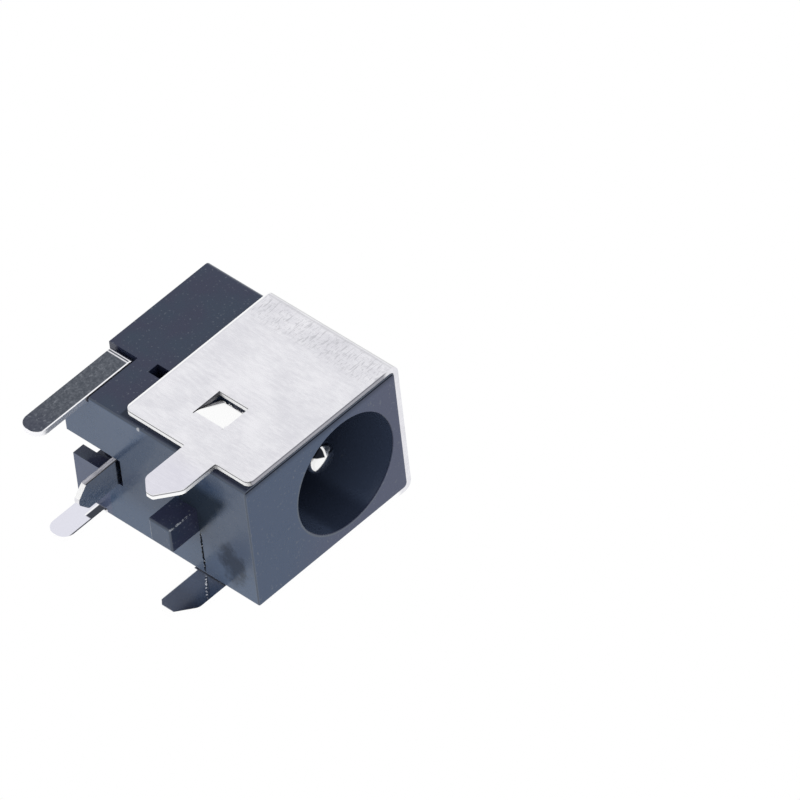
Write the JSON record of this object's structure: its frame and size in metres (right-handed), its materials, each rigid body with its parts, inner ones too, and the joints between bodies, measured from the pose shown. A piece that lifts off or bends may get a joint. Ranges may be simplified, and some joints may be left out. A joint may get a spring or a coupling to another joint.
{
  "type": "dc barrel jack",
  "caption": "Right-angle barrel power jack for a circuit board, with a folded metal shield, a round centre pin, solder tails and a square locating peg.",
  "frame": {"origin": "on the housing's board face, below the plug axis and midway between the housing's front and rear faces", "axes": "+X across the jack, -Y out of the mouth along the plug axis, +Z away from the board"},
  "size_m": [0.008, 0.0118, 0.0135],
  "materials": {
    "housing": "black moulded, satin",
    "shield": "tinned sheet, fine rolled grain",
    "pin": "plated, bright",
    "contact": "tinned strip, satin"
  },
  "bodies": {
    "root": {"housing": "housing", "shield": "shield", "centre_pin": "pin", "pin_terminal": "contact", "spring_contact": "contact", "switch_contact": "contact"}
  },
  "joints": []
}
